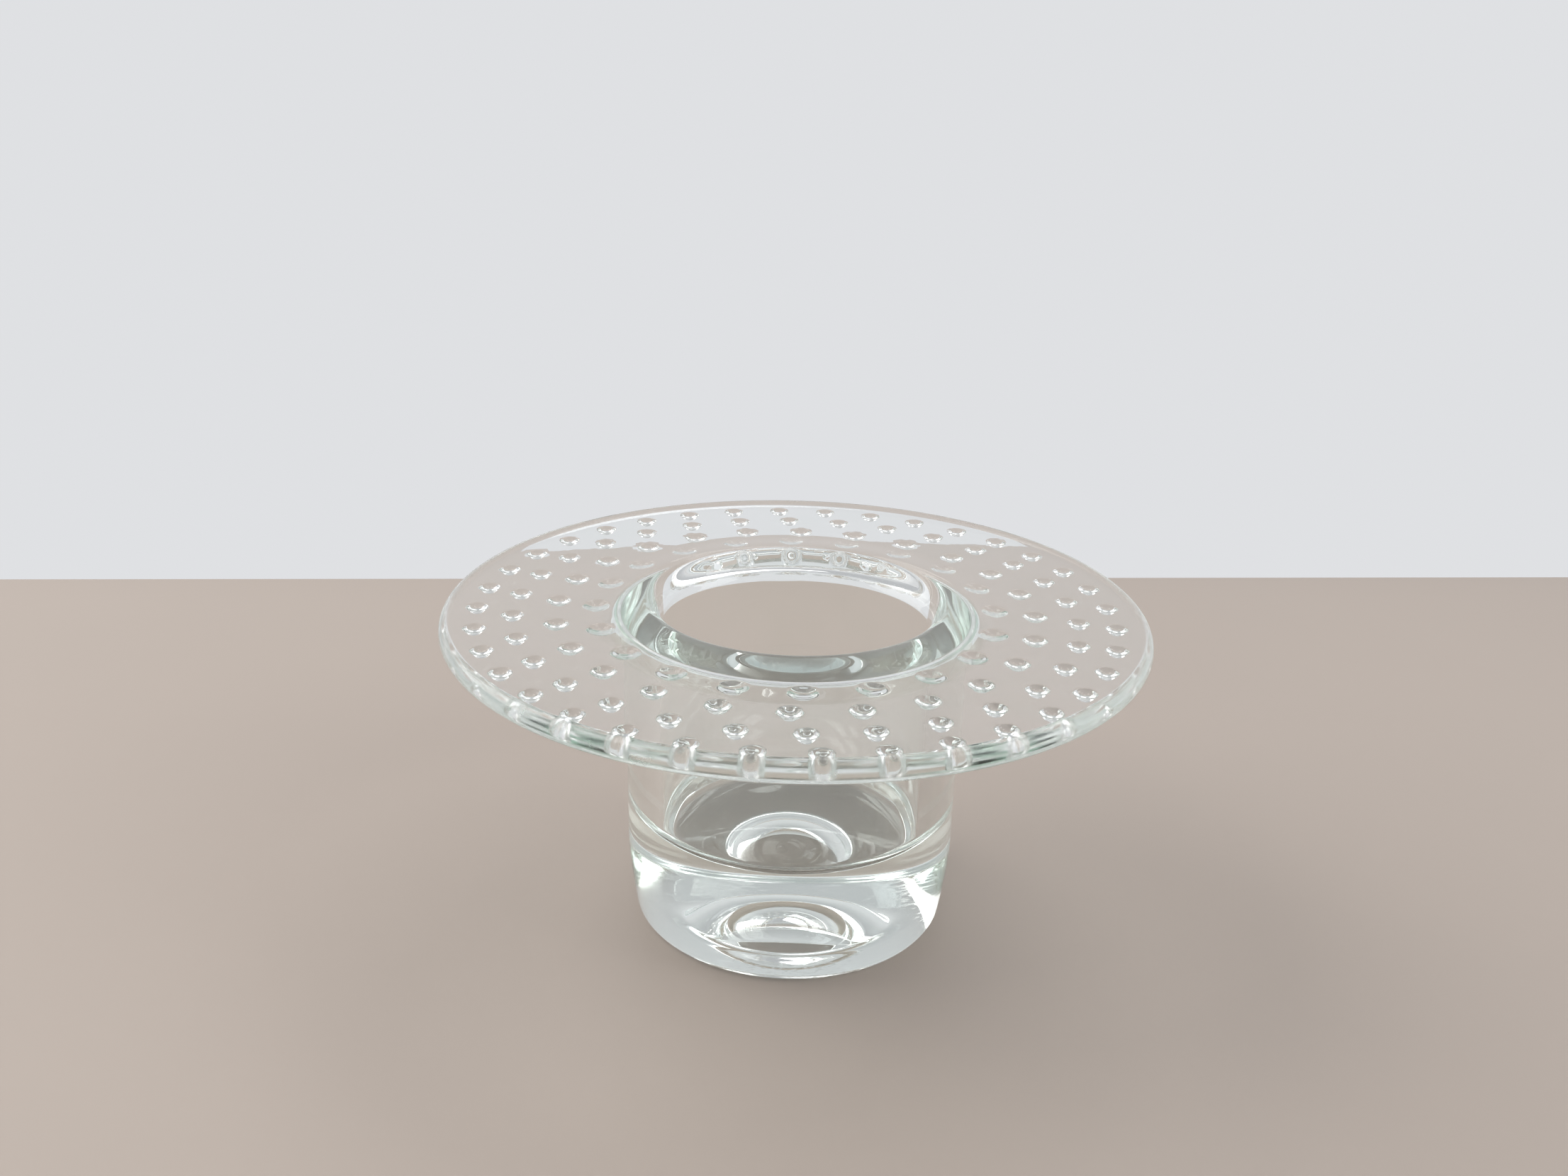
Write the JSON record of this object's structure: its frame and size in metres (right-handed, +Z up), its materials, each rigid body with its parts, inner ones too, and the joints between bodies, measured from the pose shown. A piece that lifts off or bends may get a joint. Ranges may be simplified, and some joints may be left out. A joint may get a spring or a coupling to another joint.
{
  "type": "votive candle holder",
  "caption": "Clear pressed-glass votive holder: a thick-based straight cup hung in a wide flat brim, with a low rounded collar at the mouth and rings of raised drops under the brim.",
  "frame": {"origin": "centre of the foot, on the plane that the holder stands on", "axes": "+Z up along the cup's axis, out of the mouth; +X through the first drop of every ring"},
  "size_m": [0.125, 0.125, 0.0613],
  "materials": {
    "glass_holder": "clear fire-polished pressed glass with a faint green tint"
  },
  "bodies": {
    "root": {"glass_holder": "glass_holder"}
  },
  "joints": []
}
